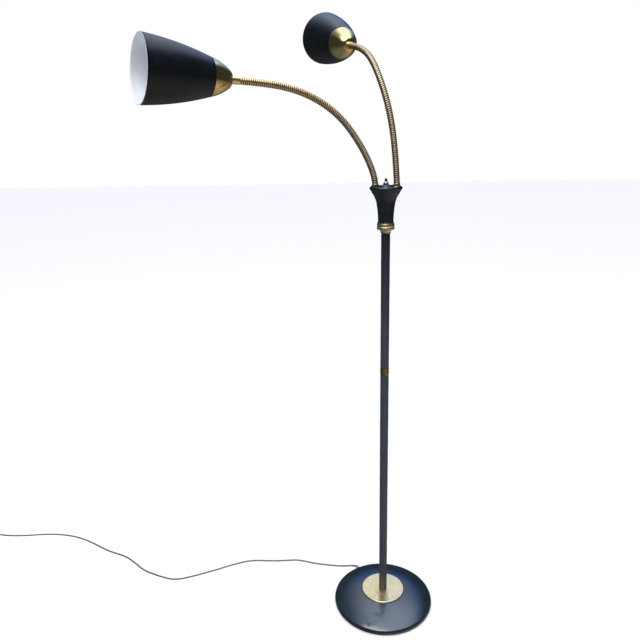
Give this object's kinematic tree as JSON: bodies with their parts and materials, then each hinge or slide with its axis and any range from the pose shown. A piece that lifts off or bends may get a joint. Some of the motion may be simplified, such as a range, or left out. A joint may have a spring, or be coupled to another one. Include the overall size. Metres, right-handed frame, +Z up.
{
  "type": "floor lamp",
  "caption": "Floor lamp with a weighted round base, a pole and two flexible necks that each carry a black bell-shaped shade with a brass cap.",
  "frame": {"origin": "centre of the base's underside, on the floor", "axes": "+Z up along the pole; -Y towards the front, where the front shade reaches to the left (-X); rear neck goes back (+Y)"},
  "size_m": [1.662, 0.7374, 1.6466],
  "materials": {
    "base_felt": "matte",
    "cast_iron": "matte",
    "black_enamel": "gloss",
    "pole_enamel": "satin",
    "pale_brass": "satin",
    "polished_brass": "polished",
    "aged_brass": "satin",
    "nickel": "polished",
    "plated_steel": "satin",
    "moulded_black": "matte",
    "cord_vinyl": "satin",
    "relief_rubber": "matte",
    "bulb_glass": "gloss"
  },
  "bodies": {
    "root": {"base_pad": "base_felt", "base_weight": "cast_iron", "base_cover": "black_enamel", "base_disc": "pale_brass", "base_washer": "plated_steel", "base_nut": "plated_steel", "base_rod": "plated_steel", "cord_relief": "relief_rubber", "lower_pole": "pole_enamel", "pole_joint_band": "polished_brass", "pole_joint_stud": "plated_steel", "pole_bushings": "plated_steel", "upper_pole": "pole_enamel", "hub_collar": "polished_brass", "hub_rod": "plated_steel", "hub_nut": "plated_steel", "hub_body": "black_enamel", "hub_cap": "black_enamel", "switch_body": "moulded_black", "switch_bushing": "nickel", "switch_nut": "nickel", "neck_lock_nuts": "plated_steel", "front_neck_foot": "aged_brass", "front_neck_1": "aged_brass", "rear_neck_foot": "aged_brass", "rear_neck_1": "aged_brass", "power_cord": "cord_vinyl", "cord_coil": "cord_vinyl", "plug_body": "cord_vinyl", "plug_pins": "pale_brass"},
    "switch": {"switch_shaft": "plated_steel", "switch_knob": "aged_brass"},
    "front_neck_link_2": {"front_neck_2": "aged_brass"},
    "front_neck_link_3": {"front_neck_3": "aged_brass"},
    "front_neck_link_4": {"front_neck_4": "aged_brass"},
    "front_neck_link_5": {"front_neck_5": "aged_brass"},
    "front_neck_link_6": {"front_neck_6": "aged_brass"},
    "front_head": {"front_neck_7": "aged_brass", "front_ferrule": "polished_brass", "front_shade_cap": "polished_brass", "front_shade": "black_enamel", "front_shade_screws": "plated_steel", "front_socket_cap": "pale_brass", "front_socket_shell": "pale_brass", "front_bulb_base": "plated_steel", "front_bulb": "bulb_glass"},
    "rear_neck_link_2": {"rear_neck_2": "aged_brass"},
    "rear_neck_link_3": {"rear_neck_3": "aged_brass"},
    "rear_neck_link_4": {"rear_neck_4": "aged_brass"},
    "rear_neck_link_5": {"rear_neck_5": "aged_brass"},
    "rear_neck_link_6": {"rear_neck_6": "aged_brass"},
    "rear_head": {"rear_neck_7": "aged_brass", "rear_ferrule": "polished_brass", "rear_shade_cap": "polished_brass", "rear_shade": "black_enamel", "rear_shade_screws": "plated_steel", "rear_socket_cap": "pale_brass", "rear_socket_shell": "pale_brass", "rear_bulb_base": "plated_steel", "rear_bulb": "bulb_glass"}
  },
  "joints": [
    {"name": "switch_turn", "type": "hinge", "parent": "root", "child": "switch", "pos_m": [0, 0, 1.2], "axis": [0, 0, 1], "continuous": true},
    {"name": "front_neck_bend_1", "type": "hinge", "parent": "root", "child": "front_neck_link_2", "pos_m": [-0.03354, -0.00586, 1.24193], "axis": [0.0523, -0.9986, 0], "range_deg": [-28, 28]},
    {"name": "front_neck_bend_2", "type": "hinge", "parent": "front_neck_link_2", "child": "front_neck_link_3", "pos_m": [-0.06503, -0.01127, 1.30638], "axis": [0.8365, 0.2241, 0.5], "range_deg": [-28, 28]},
    {"name": "front_neck_bend_3", "type": "hinge", "parent": "front_neck_link_3", "child": "front_neck_link_4", "pos_m": [-0.10686, -0.02781, 1.36217], "axis": [0.4384, -0.8988, 0], "range_deg": [-28, 28]},
    {"name": "front_neck_bend_4", "type": "hinge", "parent": "front_neck_link_4", "child": "front_neck_link_5", "pos_m": [-0.15871, -0.05689, 1.40232], "axis": [0.3718, 0.2323, 0.8988], "range_deg": [-28, 28]},
    {"name": "front_neck_bend_5", "type": "hinge", "parent": "front_neck_link_5", "child": "front_neck_link_6", "pos_m": [-0.21473, -0.09555, 1.42512], "axis": [0.6018, -0.7986, 0], "range_deg": [-28, 28]},
    {"name": "front_neck_bend_6", "type": "hinge", "parent": "front_neck_link_6", "child": "front_head", "pos_m": [-0.27132, -0.13898, 1.43451], "axis": [0.055, 0.0429, 0.9976], "range_deg": [-28, 28]},
    {"name": "rear_neck_bend_1", "type": "hinge", "parent": "root", "child": "rear_neck_link_2", "pos_m": [0.02361, 0.00599, 1.24293], "axis": [-0.2588, -0.9659, 0], "range_deg": [-28, 28]},
    {"name": "rear_neck_bend_2", "type": "hinge", "parent": "rear_neck_link_2", "child": "rear_neck_link_3", "pos_m": [0.01678, 0.00896, 1.31454], "axis": [0.8434, -0.527, 0.1045], "range_deg": [-28, 28]},
    {"name": "rear_neck_bend_3", "type": "hinge", "parent": "rear_neck_link_3", "child": "rear_neck_link_4", "pos_m": [0.00359, 0.0172, 1.38468], "axis": [-0.5299, -0.848, 0], "range_deg": [-28, 28]},
    {"name": "rear_neck_bend_4", "type": "hinge", "parent": "rear_neck_link_4", "child": "rear_neck_link_5", "pos_m": [-0.01716, 0.03938, 1.44969], "axis": [0.4742, -0.7031, 0.5299], "range_deg": [-28, 28]},
    {"name": "rear_neck_bend_5", "type": "hinge", "parent": "rear_neck_link_5", "child": "rear_neck_link_6", "pos_m": [-0.04175, 0.08244, 1.50114], "axis": [-0.891, -0.454, 0], "range_deg": [-28, 28]},
    {"name": "rear_neck_bend_6", "type": "hinge", "parent": "rear_neck_link_6", "child": "rear_head", "pos_m": [-0.07165, 0.14113, 1.5291], "axis": [0.0944, -0.1853, 0.9781], "range_deg": [-28, 28]}
  ]
}
